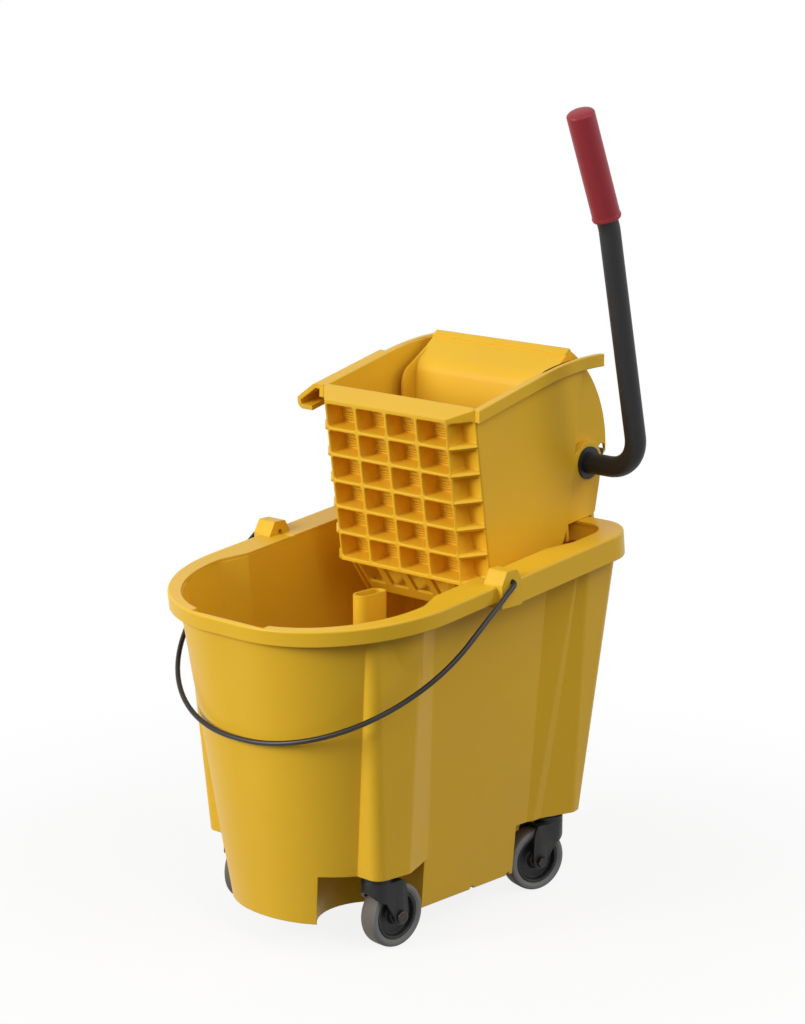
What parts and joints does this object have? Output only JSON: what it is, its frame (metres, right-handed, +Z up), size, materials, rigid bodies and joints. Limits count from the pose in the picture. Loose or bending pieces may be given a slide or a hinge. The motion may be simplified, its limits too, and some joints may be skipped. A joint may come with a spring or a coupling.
{
  "type": "mop bucket with wringer",
  "caption": "Wheeled yellow mop bucket with a side-press wringer hooked over its rear rim, a long lever with a red grip and a wire carrying bail.",
  "frame": {"origin": "on the floor, under the middle of the overall box", "axes": "+Z up, -Y towards the pouring end of the bucket, +X towards the lever side"},
  "size_m": [0.4145, 0.5344, 0.9394],
  "materials": {
    "yellow_plastic": "moulded yellow polypropylene, semi-matte",
    "dark_wire": "dark coated steel wire",
    "black_plastic": "black moulded plastic",
    "charcoal_plastic": "charcoal moulded nylon",
    "charcoal_metal": "charcoal powder coat on steel tube",
    "red_grip": "dark red smooth vinyl grip",
    "grey_tyre": "grey rubber tread",
    "zinc_steel": "zinc plated steel"
  },
  "bodies": {
    "bucket": {"bucket": "yellow_plastic", "socket_front_right": "zinc_steel", "socket_front_left": "zinc_steel", "socket_rear_right": "zinc_steel", "socket_rear_left": "zinc_steel"},
    "bail": {"bail": "dark_wire"},
    "wringer": {"front_grid": "yellow_plastic", "right_side_wall": "yellow_plastic", "left_side_wall": "yellow_plastic", "drain_floor": "yellow_plastic", "rear_bracket": "yellow_plastic", "shaft_bush_right": "black_plastic", "shaft_bush_left": "black_plastic", "hinge_pin": "zinc_steel", "return_spring": "zinc_steel"},
    "press_plate": {"press_plate": "yellow_plastic"},
    "lever": {"lever_tube": "charcoal_metal", "lever_grip": "red_grip", "crank_right": "charcoal_metal", "crank_left": "charcoal_metal"},
    "caster_front_right": {"fork_front_right": "charcoal_plastic", "axle_bolt_front_right": "zinc_steel", "axle_nut_front_right": "zinc_steel"},
    "wheel_front_right": {"tyre_front_right": "grey_tyre", "hub_front_right": "black_plastic"},
    "caster_front_left": {"fork_front_left": "charcoal_plastic", "axle_bolt_front_left": "zinc_steel", "axle_nut_front_left": "zinc_steel"},
    "wheel_front_left": {"tyre_front_left": "grey_tyre", "hub_front_left": "black_plastic"},
    "caster_rear_right": {"fork_rear_right": "charcoal_plastic", "axle_bolt_rear_right": "zinc_steel", "axle_nut_rear_right": "zinc_steel"},
    "wheel_rear_right": {"tyre_rear_right": "grey_tyre", "hub_rear_right": "black_plastic"},
    "caster_rear_left": {"fork_rear_left": "charcoal_plastic", "axle_bolt_rear_left": "zinc_steel", "axle_nut_rear_left": "zinc_steel"},
    "wheel_rear_left": {"tyre_rear_left": "grey_tyre", "hub_rear_left": "black_plastic"}
  },
  "joints": [
    {"name": "bail_swing", "type": "hinge", "parent": "bucket", "child": "bail", "pos_m": [0, -0.0085, 0.4188], "axis": [1, 0, 0], "range_deg": [-120, 0]},
    {"name": "wringer_lift", "type": "slide", "parent": "bucket", "child": "wringer", "axis": [0, 0, 1], "range_m": [0, 0.25]},
    {"name": "lever_swing", "type": "hinge", "parent": "wringer", "child": "lever", "pos_m": [0, 0.2235, 0.508], "axis": [1, 0, 0], "range_deg": [0, 85], "stiffness_Nm_per_rad": 1.2, "springref_deg": -68.75},
    {"name": "plate_swing", "type": "hinge", "parent": "wringer", "child": "press_plate", "pos_m": [0, 0.1425, 0.412], "axis": [1, 0, 0], "range_deg": [0, 17.32]},
    {"name": "swivel_front_right", "type": "hinge", "parent": "bucket", "child": "caster_front_right", "pos_m": [0.112, -0.1395, 0.1], "axis": [0, 0, 1], "continuous": true},
    {"name": "roll_front_right", "type": "hinge", "parent": "caster_front_right", "child": "wheel_front_right", "pos_m": [0.11392, -0.11758, 0.038], "axis": [-0.9962, 0.0872, 0], "continuous": true},
    {"name": "swivel_front_left", "type": "hinge", "parent": "bucket", "child": "caster_front_left", "pos_m": [-0.112, -0.1395, 0.1], "axis": [0, 0, 1], "continuous": true},
    {"name": "roll_front_left", "type": "hinge", "parent": "caster_front_left", "child": "wheel_front_left", "pos_m": [-0.11582, -0.11783, 0.038], "axis": [-0.9848, -0.1736, 0], "continuous": true},
    {"name": "swivel_rear_right", "type": "hinge", "parent": "bucket", "child": "caster_rear_right", "pos_m": [0.116, 0.1555, 0.1], "axis": [0, 0, 1], "continuous": true},
    {"name": "roll_rear_right", "type": "hinge", "parent": "caster_rear_right", "child": "wheel_rear_right", "pos_m": [0.11031, 0.13425, 0.038], "axis": [0.9659, -0.2588, 0], "continuous": true},
    {"name": "swivel_rear_left", "type": "hinge", "parent": "bucket", "child": "caster_rear_left", "pos_m": [-0.116, 0.1555, 0.1], "axis": [0, 0, 1], "continuous": true},
    {"name": "roll_rear_left", "type": "hinge", "parent": "caster_rear_left", "child": "wheel_rear_left", "pos_m": [-0.127, 0.13645, 0.038], "axis": [0.866, -0.5, 0], "continuous": true}
  ],
  "couplings": [
    {"joint": "plate_swing", "follows": "lever_swing", "ratio": 0.2036}
  ]
}
